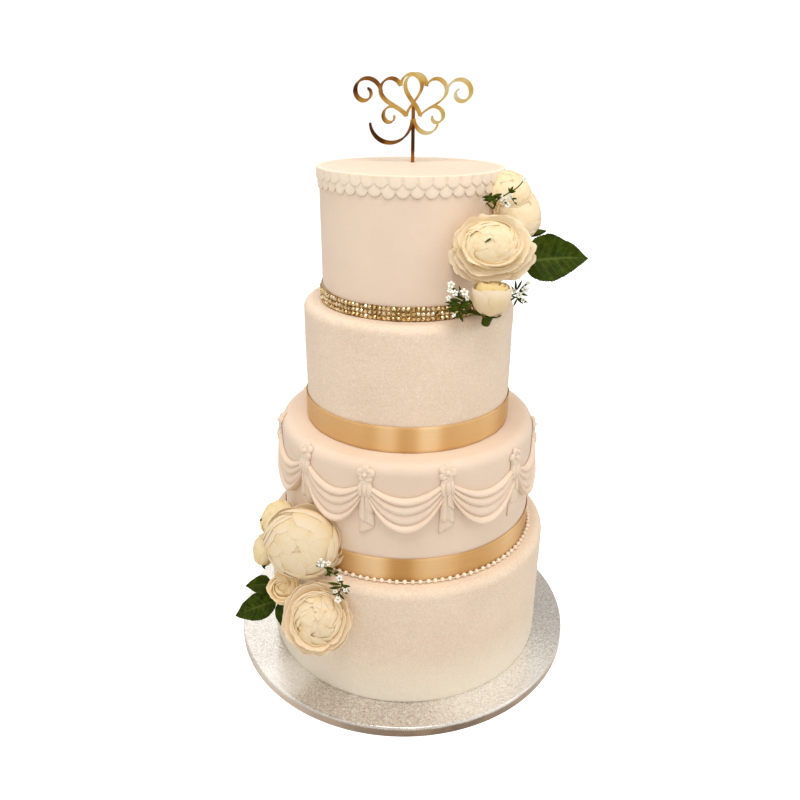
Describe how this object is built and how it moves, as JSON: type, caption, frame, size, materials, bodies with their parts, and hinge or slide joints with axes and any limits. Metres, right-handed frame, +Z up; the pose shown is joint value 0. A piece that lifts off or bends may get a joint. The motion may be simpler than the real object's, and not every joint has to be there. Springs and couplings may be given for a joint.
{
  "type": "tiered wedding cake",
  "caption": "Round tiered wedding cake in ivory icing on a silver foil board, with gold ribbons, draped swags, rose clusters, a scalloped top edge and a gold topper.",
  "frame": {"origin": "on the axis of the stacked tiers, at the underside of the board", "axes": "+Z up along the tiers' axis; -Y is the front, where the long side of the topper and most of the flowers face; +X is to the right as seen from the front"},
  "size_m": [0.356, 0.356, 0.5637],
  "materials": {
    "board_foil": "embossed foil paper over a stiff board, shiny",
    "icing_smooth": "smooth rolled icing, satin",
    "icing_grainy": "rough grainy icing, matt with a fine sparkle",
    "icing_moulded": "moulded sugar paste, satin",
    "satin_ribbon": "woven satin, golden, with a soft sheen",
    "gem_stones": "faceted stones in a gold mesh, glittering",
    "pearl": "pearly, soft gloss",
    "gold_sheet": "mirror gold sheet, polished",
    "petal": "ivory petals, matt and a little translucent",
    "leaf": "dark green leaf, semi-gloss with a paler midrib",
    "blossom": "tiny off-white blossoms and thin green needles"
  },
  "bodies": {
    "root": {"board": "board_foil", "tier_1": "icing_grainy", "tier_3": "icing_grainy", "tier_2": "icing_smooth", "tier_4": "icing_smooth", "scallop_upper": "icing_smooth", "scallop_lower": "icing_smooth", "swag_1": "icing_moulded", "swag_2": "icing_moulded", "swag_3": "icing_moulded", "swag_4": "icing_moulded", "swag_5": "icing_moulded", "swag_6": "icing_moulded", "swag_7": "icing_moulded", "swag_8": "icing_moulded", "swag_9": "icing_moulded", "swag_10": "icing_moulded", "drop_1": "icing_moulded", "drop_2": "icing_moulded", "drop_3": "icing_moulded", "drop_4": "icing_moulded", "drop_5": "icing_moulded", "drop_6": "icing_moulded", "drop_7": "icing_moulded", "drop_8": "icing_moulded", "drop_9": "icing_moulded", "drop_10": "icing_moulded", "rosette_1": "icing_moulded", "rosette_2": "icing_moulded", "rosette_3": "icing_moulded", "rosette_4": "icing_moulded", "rosette_5": "icing_moulded", "rosette_6": "icing_moulded", "rosette_7": "icing_moulded", "rosette_8": "icing_moulded", "rosette_9": "icing_moulded", "rosette_10": "icing_moulded", "ribbon_tier_2": "satin_ribbon", "ribbon_tier_3": "satin_ribbon", "gem_band": "gem_stones", "pearl_border": "pearl", "topper": "gold_sheet", "rose_a": "petal", "rose_b": "petal", "rose_c": "petal", "rose_bud": "petal", "rose_d": "petal", "rose_e": "petal", "rose_f": "petal", "rose_g": "petal", "rose_h": "petal", "leaf_1": "leaf", "leaf_2": "leaf", "leaf_3": "leaf", "leaf_4": "leaf", "sprig_1": "blossom", "sprig_2": "blossom", "sprig_3": "blossom", "sprig_4": "blossom"}
  },
  "joints": []
}
